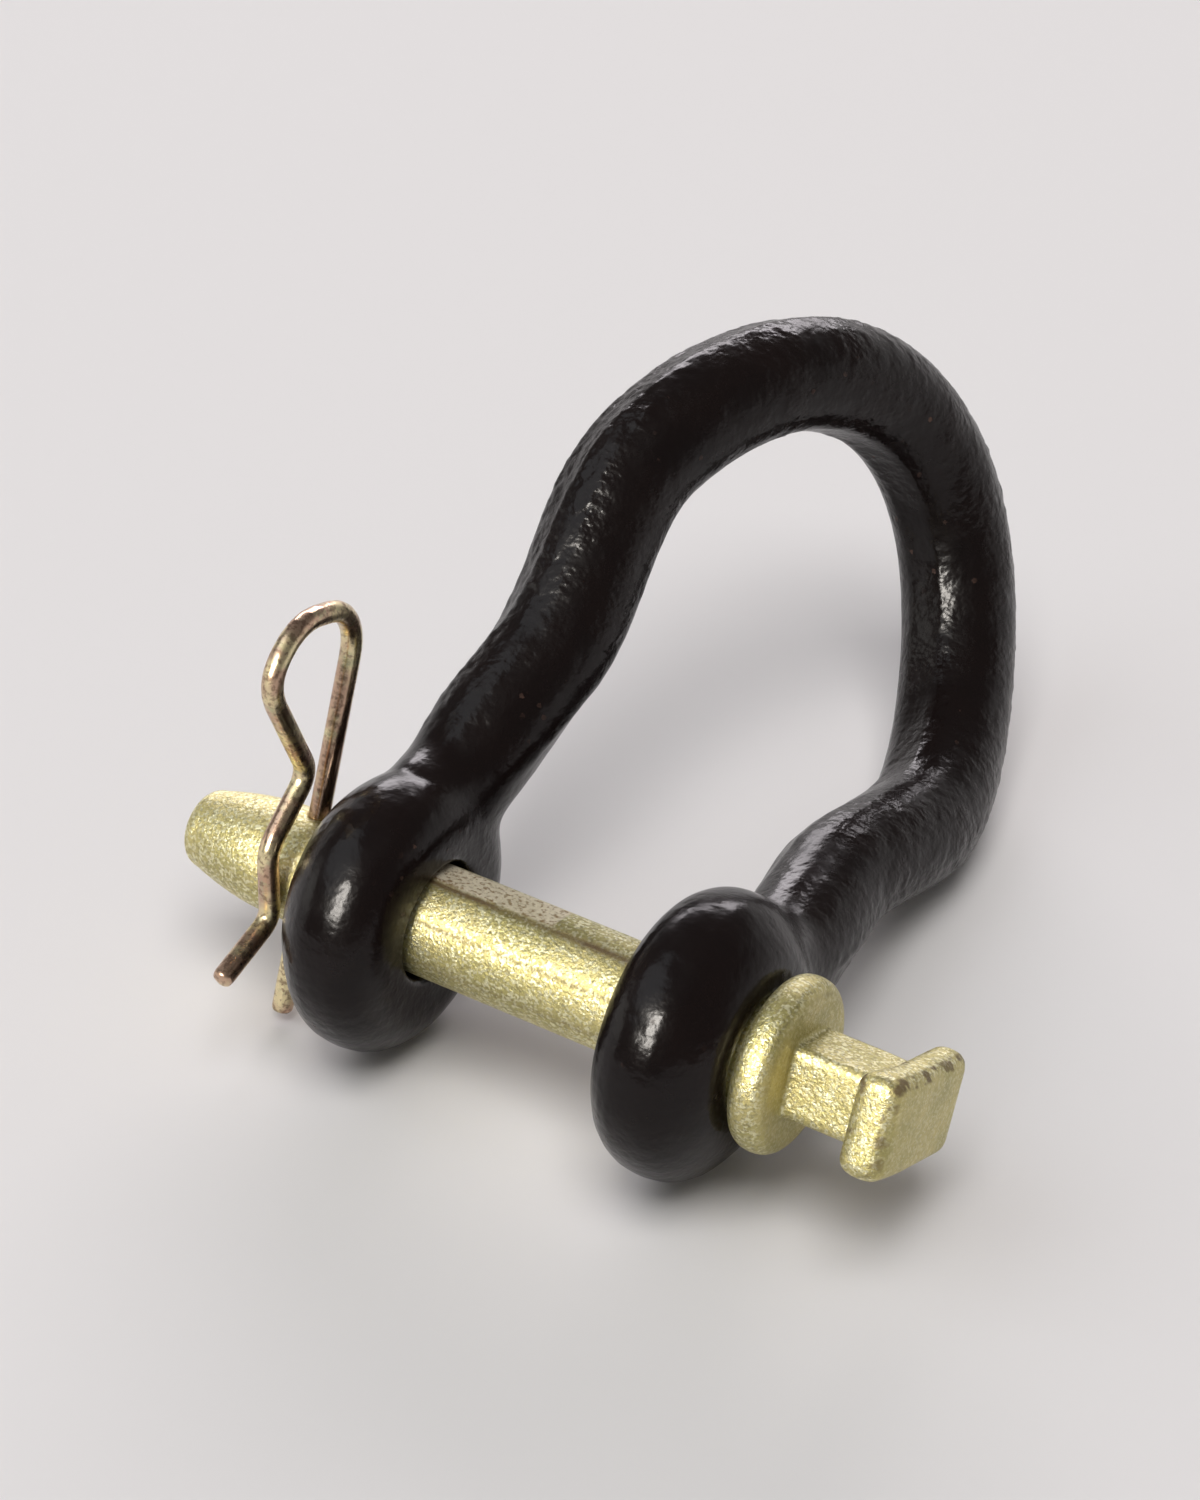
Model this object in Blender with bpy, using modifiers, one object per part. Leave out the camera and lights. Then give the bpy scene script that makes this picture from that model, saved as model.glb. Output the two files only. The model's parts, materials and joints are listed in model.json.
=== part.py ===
"""Twisted clevis: a forged bow with two bored eyes, a T-headed pin and a spring hairpin.

The clevis frame has +X along the pin towards its head, +Y from the pin to the bow's crown, and its origin
midway between the bores. The bow is then tilted about the pin until its eyes and its lower side rest on the
floor.
"""
import math

import bmesh
import bpy
from mathutils import Matrix, Vector

# Fit between touching pieces
FIT_GAP = 0.0003

# Bow
JAW_WIDTH = 0.0530
EYE_RADIUS = 0.0324
EYE_THICKNESS = 0.0244
EYE_RIM = 0.0112
EYE_DROP = 0.0013
BORE_RADIUS = 0.0135
BORE_EDGE = 0.0010
BORE_LIFT = 0.0007
BAR_RADIUS = 0.0136
CLEAR_LENGTH = 0.14605
LEG_SPREAD = 0.0405
CROWN_SPREAD = 0.0546
CROWN_RISE = 0.0635
SHOULDER_START = 0.0595
TWIST = math.radians(66.0)
TWIST_EASE = 1.57
EYE_FILLET = 0.0120
FLASH_DEPTH = 0.0008

# Where the bar grows out of its eye, as shares of the eye's radius
BURIED_AT = 0.62
TURNS_FROM = 0.60
ROUNDS_FROM = 0.75
ROUNDS_OVER = 0.60

# Pin
PIN_RADIUS = 0.0127
END_PLAY = 0.0045
FLANGE_RADIUS = 0.0198
FLANGE_THICKNESS = 0.0090
FLANGE_RIM = 0.0038
NECK_WIDTH = 0.0170
NECK_LENGTH = 0.0200
NECK_EDGE = 0.0025
HEAD_LENGTH = 0.0350
HEAD_WIDTH = 0.0235
HEAD_THICKNESS = 0.0088
HEAD_EDGE = 0.0036
HEAD_TURN = math.radians(-21.5)
HOLE_STANDOFF = 0.0102
HOLE_RADIUS = 0.0024
HOLE_TURN = math.radians(-22.0)
TIP_LENGTH = 0.0292
TIP_TAPER = 0.0247
TIP_RADIUS = 0.0092
TIP_EDGE = 0.0040
TIP_SWELL = 0.9
FLAT_DEPTH = 0.0007
FLAT_START = -0.0560
FLAT_END = 0.0030
FLAT_TURN = math.radians(-16.0)

# Hairpin
WIRE_RADIUS = 0.00205
CLIP_TAIL = 0.0330
CLIP_HEIGHT = 0.0626
CLIP_WIDTH = 0.0305
CLIP_PINCH = 0.0087
PINCH_HEIGHT = 0.0251
SHOULDER_DROP = 0.0152
SEAT_SLOPE = math.radians(20.5)
SEAT_REACH = 0.0088
FLARE_OUT = 0.0158
FLARE_DOWN = 0.0107
CLIP_BENDS = (0.0120, 0.0130, 0.0110, 0.0050, 0.0070, 0.0040)

# What follows from them
APEX = PIN_RADIUS + CLEAR_LENGTH + BAR_RADIUS
CROWN_START = APEX - CROWN_RISE
EYE_CENTRE = (JAW_WIDTH + EYE_THICKNESS) / 2
EYE_OUTSIDE = EYE_CENTRE + EYE_THICKNESS / 2
FLANGE_START = EYE_OUTSIDE + END_PLAY
NECK_START = FLANGE_START + FLANGE_THICKNESS
HEAD_START = NECK_START + NECK_LENGTH
HOLE_X = -(EYE_OUTSIDE + HOLE_STANDOFF)
PIN_END = HOLE_X - TIP_LENGTH

# Fineness of the mesh
LEG_STEPS = 22
CROWN_STEPS = 17
BAR_SIDES = 28
TURN_STEPS = 48
ARC_STEPS = 6
TIP_STEPS = 8
BEND_STEP = math.radians(14.0)
LEG_CROWDING = 1.25
LOOK_STEP = 0.002
REST_SAMPLES = 60


def ease(t):
    """Smooth rise from 0 to 1, level at both ends."""
    t = min(max(t, 0.0), 1.0)
    return t * t * (3 - 2 * t)


def material(name, colour, roughness, metallic, coat=0.0):
    """A Principled material."""
    made = bpy.data.materials.new(name)
    made.use_nodes = True
    shader = made.node_tree.nodes["Principled BSDF"]
    shader.inputs["Base Color"].default_value = (*colour, 1.0)
    shader.inputs["Roughness"].default_value = roughness
    shader.inputs["Metallic"].default_value = metallic
    shader.inputs["Coat Weight"].default_value = coat
    return made


def add_object(name, mesh, collection, parent=None):
    """Link a mesh as an object in a collection."""
    made = bpy.data.objects.new(name, mesh)
    collection.objects.link(made)
    made.parent = parent
    return made


def as_cutter(cutter):
    """Show a helper object as wire and keep it out of renders."""
    cutter.hide_render = True
    cutter.display_type = "WIRE"
    return cutter


def boolean(target, other, operation):
    """Add an exact Boolean to the target."""
    modifier = target.modifiers.new(other.name, "BOOLEAN")
    modifier.operation = operation
    modifier.solver = "EXACT"
    modifier.object = other


def shade(target, angle=35.0):
    """Shade smooth, with the sharp edges kept."""
    target.data.shade_smooth()
    target.data.set_sharp_from_angle(angle=math.radians(angle))


def arc(centre, radius, start, end, steps=ARC_STEPS):
    """Points of an arc in the profile plane, angles in degrees from +X."""
    points = []
    for k in range(steps + 1):
        angle = math.radians(start + (end - start) * k / steps)
        points.append((centre[0] + radius * math.cos(angle), centre[1] + radius * math.sin(angle)))
    return points


def turned(name, profile, collection, parent=None, steps=TURN_STEPS):
    """Turn a profile of (x, radius) points, in order of rising x, about its own X axis."""
    bm = bmesh.new()
    verts = [bm.verts.new((x, radius, 0.0)) for x, radius in reversed(profile)]
    for a, b in zip(verts, verts[1:]):
        bm.edges.new((a, b))
    mesh = bpy.data.meshes.new(name)
    bm.to_mesh(mesh)
    bm.free()
    made = add_object(name, mesh, collection, parent)
    screw = made.modifiers.new("Turn", "SCREW")
    screw.axis = "X"
    screw.steps = steps
    screw.render_steps = steps
    screw.use_merge_vertices = True
    screw.merge_threshold = 0.00001
    return made


def planar(v):
    """Half width and reach of the bar's centre: v is 0 to 1 up a leg, 1 to 2 round to the apex."""
    if v <= 1.0:
        reach = CROWN_START * v
        flare = ease((reach - SHOULDER_START) / (CROWN_START - SHOULDER_START))
        return LEG_SPREAD + (CROWN_SPREAD - LEG_SPREAD) * flare, reach
    angle = (v - 1.0) * math.pi / 2
    return CROWN_SPREAD * math.cos(angle), CROWN_START + CROWN_RISE * math.sin(angle)


def twist_at(reach):
    """Turn of the bow about its own axis, quick at the eyes and easing out to the crown."""
    return TWIST * (1 - (1 - min(reach / APEX, 1.0)) ** TWIST_EASE)


def bar_centre(v):
    """Centre of the bar on the +X side, which twists down, towards -Z."""
    width, reach = planar(v)
    turn = twist_at(reach)
    return Vector((width * math.cos(turn), reach, -width * math.sin(turn)))


def bar_outward(v):
    """Direction across the bar, away from the inside of the bow, in the bow's own twisted plane."""
    low, high = planar(max(v - LOOK_STEP, 0.0)), planar(min(v + LOOK_STEP, 2.0))
    run, rise = high[0] - low[0], high[1] - low[1]
    width, reach = planar(v)
    turn = twist_at(reach) * ease((reach - TURNS_FROM * EYE_RADIUS) / EYE_RADIUS)
    radial = Vector((math.cos(turn), 0.0, -math.sin(turn)))
    return (radial * rise - Vector((0.0, 1.0, 0.0)) * run).normalized()


def fillet_half_width(distance):
    """Half width of the leg beside its eye: a fillet arc that touches both the eye's rim and the leg."""
    centre_side = BAR_RADIUS + EYE_FILLET
    centre_along = math.sqrt((EYE_RADIUS + EYE_FILLET) ** 2 - centre_side ** 2)
    touch = centre_along * EYE_RADIUS / (EYE_RADIUS + EYE_FILLET)
    if distance >= centre_along:
        return BAR_RADIUS
    distance = max(distance, touch)
    return centre_side - math.sqrt(EYE_FILLET ** 2 - (centre_along - distance) ** 2)


def bar_section(v, distance):
    """One section of the bar: round, flat along the flash line, and oval where it spreads into the eye."""
    before, after = bar_centre(max(v - LOOK_STEP, 0.0)), bar_centre(min(v + LOOK_STEP, 2.0))
    tangent = (after - before).normalized()
    if v >= 2.0:
        tangent = Vector((-math.cos(TWIST), 0.0, math.sin(TWIST)))
    outward = bar_outward(v)
    outward = (outward - tangent * outward.dot(tangent)).normalized()
    across = tangent.cross(outward)
    settle = ease((distance / EYE_RADIUS - ROUNDS_FROM) / ROUNDS_OVER)
    buried = EYE_THICKNESS / 2 - FIT_GAP
    thick = buried + (BAR_RADIUS - buried) * settle
    wide = fillet_half_width(distance)
    flat = thick - FLASH_DEPTH * settle
    centre = bar_centre(v)
    points = []
    for k in range(BAR_SIDES):
        angle = 2 * math.pi * (k + 0.5) / BAR_SIDES
        out = thick * math.cos(angle)
        out = min(max(out, -flat), flat)
        points.append(centre + outward * out + across * (wide * math.sin(angle)))
    return points


def bow_sections():
    """Sections from one eye round to the other: the second half is the first turned half a turn about Y."""
    half = []
    start = BURIED_AT * EYE_RADIUS / CROWN_START
    stops = [start + (1 - start) * (k / LEG_STEPS) ** LEG_CROWDING for k in range(LEG_STEPS)]
    stops += [1 + k / CROWN_STEPS for k in range(CROWN_STEPS + 1)]
    for v in stops:
        point = bar_centre(v)
        half.append(bar_section(v, math.hypot(point.y, point.z + EYE_DROP)))
    rest = []
    for ring in reversed(half[:-1]):
        turned_ring = [Vector((-p.x, p.y, -p.z)) for p in ring]
        rest.append([turned_ring[(-k - 1) % BAR_SIDES] for k in range(BAR_SIDES)])
    return half + rest


def loft(name, rings, collection, parent=None):
    """Skin a row of rings and close both ends."""
    bm = bmesh.new()
    rows = [[bm.verts.new(p) for p in ring] for ring in rings]
    sides = len(rows[0])
    for a, b in zip(rows, rows[1:]):
        for k in range(sides):
            bm.faces.new((a[k], a[(k + 1) % sides], b[(k + 1) % sides], b[k]))
    bm.faces.new(rows[0])
    bm.faces.new(rows[-1])
    bmesh.ops.triangulate(bm, faces=bm.faces)
    bmesh.ops.recalc_face_normals(bm, faces=bm.faces)
    mesh = bpy.data.meshes.new(name)
    bm.to_mesh(mesh)
    bm.free()
    return add_object(name, mesh, collection, parent)


def eye_profile(side):
    """Half section of an eye: flat faces round the bore and a full round rim."""
    half = EYE_THICKNESS / 2
    centre = side * EYE_CENTRE
    corner = EYE_RADIUS - EYE_RIM
    low, high = centre - half, centre + half
    points = [(low, 0.0)]
    points += arc((low + EYE_RIM, corner), EYE_RIM, 180, 90)
    points += arc((high - EYE_RIM, corner), EYE_RIM, 90, 0)
    points.append((high, 0.0))
    return points


def bore_profile(side):
    """Profile of the cutter for one eye's bore, flared at both faces to leave a broken edge."""
    half = EYE_THICKNESS / 2
    centre = side * EYE_CENTRE
    over = 2 * BORE_EDGE
    wide = BORE_RADIUS + BORE_EDGE + over
    return [
        (centre - half - over, 0.0),
        (centre - half - over, wide),
        (centre - half + BORE_EDGE, BORE_RADIUS),
        (centre + half - BORE_EDGE, BORE_RADIUS),
        (centre + half + over, wide),
        (centre + half + over, 0.0),
    ]


def make_bow(parts, cutters, frame):
    """The forged bow: a twisted bar joined to two eyes, then bored."""
    bow = loft("clevis_bow", bow_sections(), parts, frame)
    for side, label in ((-1, "left"), (1, "right")):
        eye = as_cutter(turned(label + "_eye", eye_profile(side), cutters, frame))
        eye.location = (0.0, 0.0, -EYE_DROP)
        boolean(bow, eye, "UNION")
    for side, label in ((-1, "left"), (1, "right")):
        bore = as_cutter(turned(label + "_bore", bore_profile(side), cutters, frame))
        bore.location = (0.0, 0.0, BORE_LIFT)
        boolean(bow, bore, "DIFFERENCE")
    bow.data.materials.append(material("black_paint", (0.012, 0.010, 0.010), 0.22, 0.0, 0.6))
    shade(bow)
    return bow


def pin_profile():
    """Half section of the pin's turned part, from the blunt tip to the outside of the flange."""
    taper_end = PIN_END + TIP_TAPER
    points = [(PIN_END, 0.0)]
    points += arc((PIN_END + TIP_EDGE, TIP_RADIUS - TIP_EDGE), TIP_EDGE, 180, 90, 5)
    start = PIN_END + TIP_EDGE
    for k in range(1, TIP_STEPS + 1):
        t = k / TIP_STEPS
        swell = math.sin(t * math.pi / 2) ** TIP_SWELL
        points.append((start + (taper_end - start) * t, TIP_RADIUS + (PIN_RADIUS - TIP_RADIUS) * swell))
    points.append((FLANGE_START, PIN_RADIUS))
    points += arc((FLANGE_START + FLANGE_RIM, FLANGE_RADIUS - FLANGE_RIM), FLANGE_RIM, 180, 90, 4)
    points += arc((NECK_START - FLANGE_RIM, FLANGE_RADIUS - FLANGE_RIM), FLANGE_RIM, 90, 0, 4)
    points.append((NECK_START, 0.0))
    return points


def block(name, centre, size, edge, turn, collection, parent, segments=3):
    """A bevelled block, turned about the pin's axis."""
    bm = bmesh.new()
    bmesh.ops.create_cube(bm, size=1.0)
    bmesh.ops.scale(bm, vec=size, verts=bm.verts)
    bmesh.ops.rotate(bm, matrix=Matrix.Rotation(turn, 3, "X"), verts=bm.verts)
    bmesh.ops.translate(bm, vec=centre, verts=bm.verts)
    mesh = bpy.data.meshes.new(name)
    bm.to_mesh(mesh)
    bm.free()
    made = add_object(name, mesh, collection, parent)
    if edge:
        bevel = made.modifiers.new("Edges", "BEVEL")
        bevel.width = edge
        bevel.segments = segments
        bevel.limit_method = "NONE"
    return made


def hole_cutter(name, collection, parent):
    """Drill for the cross hole, a little over the pin's diameter long."""
    bm = bmesh.new()
    length = 2 * PIN_RADIUS + 4 * HOLE_RADIUS
    bmesh.ops.create_cone(
        bm, cap_ends=True, segments=20, radius1=HOLE_RADIUS, radius2=HOLE_RADIUS, depth=length
    )
    bmesh.ops.rotate(bm, matrix=Matrix.Rotation(HOLE_TURN, 3, "X"), verts=bm.verts)
    bmesh.ops.translate(bm, vec=(HOLE_X, 0.0, 0.0), verts=bm.verts)
    mesh = bpy.data.meshes.new(name)
    bm.to_mesh(mesh)
    bm.free()
    return as_cutter(add_object(name, mesh, collection, parent))


def make_pin(parts, cutters, axis):
    """The pin: turned shaft and flange, square neck, T head, cross hole and one trimmed flat."""
    pin = turned("clevis_pin", pin_profile(), parts, axis)
    bury = FLANGE_THICKNESS / 2
    neck_size = (NECK_LENGTH + 2 * bury, NECK_WIDTH, NECK_WIDTH)
    neck_x = NECK_START + NECK_LENGTH / 2
    neck = block("neck", (neck_x, 0, 0), neck_size, NECK_EDGE, HEAD_TURN, cutters, axis)
    head_size = (HEAD_THICKNESS, HEAD_LENGTH, HEAD_WIDTH)
    head_x = HEAD_START + HEAD_THICKNESS / 2
    head = block("head", (head_x, 0, 0), head_size, HEAD_EDGE, HEAD_TURN, cutters, axis, 4)
    flat_size = (FLAT_END - FLAT_START, 2 * PIN_RADIUS, 2 * PIN_RADIUS)
    lift = Matrix.Rotation(FLAT_TURN, 3, "X") @ Vector((0, 0, 2 * PIN_RADIUS - FLAT_DEPTH))
    flat_place = ((FLAT_START + FLAT_END) / 2, lift.y, lift.z)
    flat = block("flat", flat_place, flat_size, 0.0, FLAT_TURN, cutters, axis)
    for piece in (neck, head):
        boolean(pin, as_cutter(piece), "UNION")
    boolean(pin, as_cutter(flat), "DIFFERENCE")
    boolean(pin, hole_cutter("cross_hole", cutters, axis), "DIFFERENCE")
    pin.data.materials.append(material("yellow_zinc", (0.62, 0.56, 0.28), 0.36, 1.0))
    shade(pin)
    return pin


def bent_wire(corners, radii):
    """Points along a wire bent at each corner to the given radius, straight between the bends."""
    points = [corners[0]]
    for before, corner, after, radius in zip(corners, corners[1:], corners[2:], radii):
        into = (corner - before).normalized()
        out = (after - corner).normalized()
        turn = into.angle(out)
        reach = radius * math.tan(turn / 2)
        middle = corner + (out - into).normalized() * (radius / math.cos(turn / 2))
        start = corner - into * reach - middle
        steps = max(3, round(turn / BEND_STEP))
        side = 1.0 if into.x * out.y - into.y * out.x > 0 else -1.0
        for k in range(steps + 1):
            spin = Matrix.Rotation(side * turn * k / steps, 2)
            points.append(middle + spin @ start)
    points.append(corners[-1])
    return points


def clip_path():
    """Centre line of the hairpin in its own plane, with the pin at 0, 0: x away from the straight leg."""
    seat = PIN_RADIUS + WIRE_RADIUS + FIT_GAP

    def on_seat(along):
        return Vector((seat / math.cos(SEAT_SLOPE) + along * math.tan(SEAT_SLOPE), along))

    swell = on_seat(SEAT_REACH)
    nip = on_seat(-SEAT_REACH)
    corners = [
        Vector((0.0, -CLIP_TAIL)),
        Vector((0.0, CLIP_HEIGHT)),
        Vector((CLIP_WIDTH, CLIP_HEIGHT)),
        Vector((CLIP_WIDTH, CLIP_HEIGHT - SHOULDER_DROP)),
        Vector((CLIP_PINCH, PINCH_HEIGHT)),
        swell,
        nip,
        nip + Vector((FLARE_OUT, -FLARE_DOWN)),
    ]
    return bent_wire(corners, CLIP_BENDS)


def make_hairpin(parts, axis):
    """The hairpin: round wire along the bent path, standing in the cross hole."""
    curve = bpy.data.curves.new("hairpin_wire", "CURVE")
    curve.dimensions = "3D"
    curve.bevel_depth = WIRE_RADIUS
    curve.bevel_resolution = 3
    curve.use_fill_caps = True
    path = clip_path()
    spline = curve.splines.new("POLY")
    spline.points.add(len(path) - 1)
    for point, place in zip(spline.points, path):
        point.co = (0.0, -place.x, place.y, 1.0)
    wire = bpy.data.objects.new("hairpin_clip", curve)
    wire.location = (HOLE_X, 0.0, 0.0)
    wire.rotation_euler = (HOLE_TURN, 0.0, 0.0)
    parts.objects.link(wire)
    wire.parent = axis
    curve.materials.append(material("zinc_wire", (0.48, 0.40, 0.26), 0.28, 1.0))
    return wire


def rest_angle():
    """Tilt about the pin that lets the lower side of the bow touch the floor that the eyes stand on."""
    centres = [bar_centre(k / REST_SAMPLES) for k in range(2 * REST_SAMPLES + 1)]
    centres += [Vector((-p.x, p.y, -p.z)) for p in centres]

    def clearance(angle):
        turn = Matrix.Rotation(angle, 3, "X")
        lowest_eye = -EYE_DROP * math.cos(angle) - EYE_RADIUS
        return min((turn @ p).z for p in centres) - BAR_RADIUS - lowest_eye

    low, high = 0.0, math.radians(40.0)
    for _ in range(50):
        middle = (low + high) / 2
        if clearance(middle) < 0:
            low = middle
        else:
            high = middle
    return high


def centre_on_floor(root, parts):
    """Move the root so that the parts stand on the floor and are centred on the origin."""
    bpy.context.view_layer.update()
    depsgraph = bpy.context.evaluated_depsgraph_get()
    corners = []
    for piece in parts.objects:
        seen = piece.evaluated_get(depsgraph)
        mesh = seen.to_mesh()
        corners += [seen.matrix_world @ vertex.co for vertex in mesh.vertices]
        seen.to_mesh_clear()
    low = [min(p[k] for p in corners) for k in range(3)]
    high = [max(p[k] for p in corners) for k in range(3)]
    root.location = (-(low[0] + high[0]) / 2, -(low[1] + high[1]) / 2, -low[2])


def main():
    """Build the clevis and set it down."""
    for old in list(bpy.data.objects):
        bpy.data.objects.remove(old, do_unlink=True)
    parts = bpy.data.collections.new("twisted_clevis")
    cutters = bpy.data.collections.new("cutters")
    bpy.context.scene.collection.children.link(parts)
    bpy.context.scene.collection.children.link(cutters)

    root = bpy.data.objects.new("clevis_root", None)
    bow_frame = bpy.data.objects.new("bow_frame", None)
    pin_axis = bpy.data.objects.new("pin_axis", None)
    for empty in (root, bow_frame, pin_axis):
        cutters.objects.link(empty)
    bow_frame.parent = root
    tilt = rest_angle()
    bow_frame.rotation_euler = (tilt, 0.0, 0.0)
    pin_axis.parent = bow_frame
    pin_axis.location = (0.0, 0.0, BORE_LIFT)
    pin_axis.rotation_euler = (-tilt, 0.0, 0.0)

    make_bow(parts, cutters, bow_frame)
    make_pin(parts, cutters, pin_axis)
    make_hairpin(parts, pin_axis)
    centre_on_floor(root, parts)
    bpy.context.view_layer.update()


main()
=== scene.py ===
"""The looks of a twisted clevis: black painted bow, yellow zinc pin and hairpin, on a pale studio floor."""
import json
import math

import bpy
from mathutils import Matrix, Vector, kdtree, noise


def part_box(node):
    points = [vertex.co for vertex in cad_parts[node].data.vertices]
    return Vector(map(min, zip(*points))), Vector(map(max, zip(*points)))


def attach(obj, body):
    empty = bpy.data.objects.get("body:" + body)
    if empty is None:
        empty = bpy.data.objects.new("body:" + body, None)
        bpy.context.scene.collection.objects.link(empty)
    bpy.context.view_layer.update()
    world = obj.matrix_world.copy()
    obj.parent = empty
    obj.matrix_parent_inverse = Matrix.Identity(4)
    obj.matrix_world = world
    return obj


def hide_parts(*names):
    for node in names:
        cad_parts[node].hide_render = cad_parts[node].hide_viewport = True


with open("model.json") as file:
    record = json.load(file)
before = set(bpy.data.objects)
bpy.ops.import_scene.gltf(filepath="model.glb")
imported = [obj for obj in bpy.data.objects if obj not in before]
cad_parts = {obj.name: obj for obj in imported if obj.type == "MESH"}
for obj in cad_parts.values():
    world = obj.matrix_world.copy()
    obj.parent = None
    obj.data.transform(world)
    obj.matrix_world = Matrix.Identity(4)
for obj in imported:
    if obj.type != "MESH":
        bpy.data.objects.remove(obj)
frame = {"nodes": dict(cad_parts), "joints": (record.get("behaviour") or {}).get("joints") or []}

bl_info = {
    "name": "Twisted Clevis Finish",
    "version": (1, 0, 0),
    "blender": (4, 5, 0),
    "location": "View3D > Sidebar > Clevis",
    "description": "Dresses a packed twisted clevis in paint and zinc plating and sets it in a studio",
    "category": "Object",
}

MM = 0.001
MERGE_DISTANCE = 0.01 * MM

# Where the frame puts the pin, whose axis runs along X, and how the hairpin is pulled
PIN_JOINT = next(joint for joint in frame["joints"] if joint["name"] == "pin_turn")
PULL_JOINT = next(joint for joint in frame["joints"] if joint["name"] == "hairpin_pull")
PIN_AXIS = Vector(PIN_JOINT["pos_m"])
BOW_MIDDLE = sum(corner.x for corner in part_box("clevis_bow")) / 2

# The centre line of the bow's bar, in the frame of the bow: +Y from the pin to the crown
BOW_TILT = math.radians(12.41)
BORE_LIFT = 0.7 * MM
EYE_RADIUS = 32.4 * MM
EYE_THICKNESS = 24.4 * MM
JAW_WIDTH = 53.0 * MM
EYE_MIDDLE = (JAW_WIDTH + EYE_THICKNESS) / 2
LEG_SPREAD = 40.5 * MM
CROWN_SPREAD = 54.6 * MM
CROWN_RISE = 63.5 * MM
APEX = 172.35 * MM
SHOULDER_START = 59.5 * MM
TWIST = math.radians(66.0)
TWIST_EASE = 1.57
FLAT_HALF_ANGLE = math.radians(20.0)
LINE_STEPS = 160

# The photographed view, in the frame's own metres
CAMERA_PLACE = Vector((0.37827, -0.6685, 0.65336))
CAMERA_LOOK = Vector((-0.4103, 0.6668, -0.6221))
CAMERA_RIGHT = Vector((0.8511, 0.5249, 0.0014))
CAMERA_LENS = 104.83
SENSOR_WIDTH = 36.0
CAMERA_NEAR, CAMERA_FAR = 0.01, 20.0


# Mesh helpers

def deselect():
    """Leave nothing selected, in object mode."""
    if bpy.context.object and bpy.context.object.mode != "OBJECT":
        bpy.ops.object.mode_set(mode="OBJECT")
    bpy.ops.object.select_all(action="DESELECT")


def make_active(piece):
    """Select one object alone and make it active."""
    deselect()
    piece.select_set(True)
    bpy.context.view_layer.objects.active = piece


def copy_of_node(node, name):
    """A merged copy of a frame node's mesh, as a new object at the origin."""
    mesh = frame["nodes"][node].data.copy()
    mesh.name = name
    mesh.materials.clear()
    piece = bpy.data.objects.new(name, mesh)
    bpy.context.scene.collection.objects.link(piece)
    make_active(piece)
    bpy.ops.object.mode_set(mode="EDIT")
    bpy.ops.mesh.select_all(action="SELECT")
    bpy.ops.mesh.remove_doubles(threshold=MERGE_DISTANCE)
    bpy.ops.object.mode_set(mode="OBJECT")
    return piece


def apply_modifier(piece, modifier):
    """Apply one modifier as by hand."""
    make_active(piece)
    bpy.ops.object.modifier_apply(modifier=modifier.name)


def remesh(piece, voxel):
    """Cover a piece with an even skin of small quads."""
    modifier = piece.modifiers.new("Skin", "REMESH")
    modifier.mode = "VOXEL"
    modifier.voxel_size = voxel
    modifier.adaptivity = 0.0
    apply_modifier(piece, modifier)


# How often each skin is relaxed, and how far each time
RELAX_FACTOR = 0.5
BOW_RELAX, PIN_RELAX, CLIP_RELAX = 4, 6, 22


def relax(piece, repeats):
    """Soften facets and edges."""
    modifier = piece.modifiers.new("Relax", "SMOOTH")
    modifier.factor = RELAX_FACTOR
    modifier.iterations = repeats
    apply_modifier(piece, modifier)


def dress(piece, body, node, material):
    """Give a finished piece its material, and put it in its node's place."""
    piece.data.materials.append(material)
    make_active(piece)
    bpy.ops.object.shade_smooth()
    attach(piece, body)
    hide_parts(node)


# Node helpers

def new_group(name, inputs, outputs):
    """A shader node group with the sockets that are listed."""
    tree = bpy.data.node_groups.new(name, "ShaderNodeTree")
    for label, kind, value in inputs:
        socket = tree.interface.new_socket(name=label, in_out="INPUT", socket_type=kind)
        if value is not None:
            socket.default_value = value
    for label, kind in outputs:
        tree.interface.new_socket(name=label, in_out="OUTPUT", socket_type=kind)
    source = tree.nodes.new("NodeGroupInput")
    result = tree.nodes.new("NodeGroupOutput")
    return tree, source, result


def maths(tree, operation, a, b=None, c=None, clamp=False):
    """A Math node; each input is a socket or a number."""
    node = tree.nodes.new("ShaderNodeMath")
    node.operation = operation
    node.use_clamp = clamp
    for k, value in enumerate((a, b, c)):
        if value is None:
            continue
        if isinstance(value, (int, float)):
            node.inputs[k].default_value = value
        else:
            tree.links.new(value, node.inputs[k])
    return node.outputs[0]


def ramp(tree, value, low, high, out_low=0.0, out_high=1.0, smooth=True):
    """Map a value from one range to another, clamped."""
    node = tree.nodes.new("ShaderNodeMapRange")
    node.interpolation_type = "SMOOTHSTEP" if smooth else "LINEAR"
    tree.links.new(value, node.inputs["Value"])
    for label, number in (("From Min", low), ("From Max", high), ("To Min", out_low), ("To Max", out_high)):
        if isinstance(number, (int, float)):
            node.inputs[label].default_value = number
        else:
            tree.links.new(number, node.inputs[label])
    return node.outputs["Result"]


# Where a Mix node of colours has its factor, its two colours and its result
MIX_FACTOR, MIX_A, MIX_B, MIX_RESULT = 0, 6, 7, 2


def blend_colours(tree, factor, a, b):
    """Mix two colours by a socket's factor; each colour is a socket or an RGB triple."""
    node = tree.nodes.new("ShaderNodeMix")
    node.data_type = "RGBA"
    tree.links.new(factor, node.inputs[MIX_FACTOR])
    for k, value in ((MIX_A, a), (MIX_B, b)):
        if isinstance(value, tuple):
            node.inputs[k].default_value = (*value, 1.0)
        else:
            tree.links.new(value, node.inputs[k])
    return node.outputs[MIX_RESULT]


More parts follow.
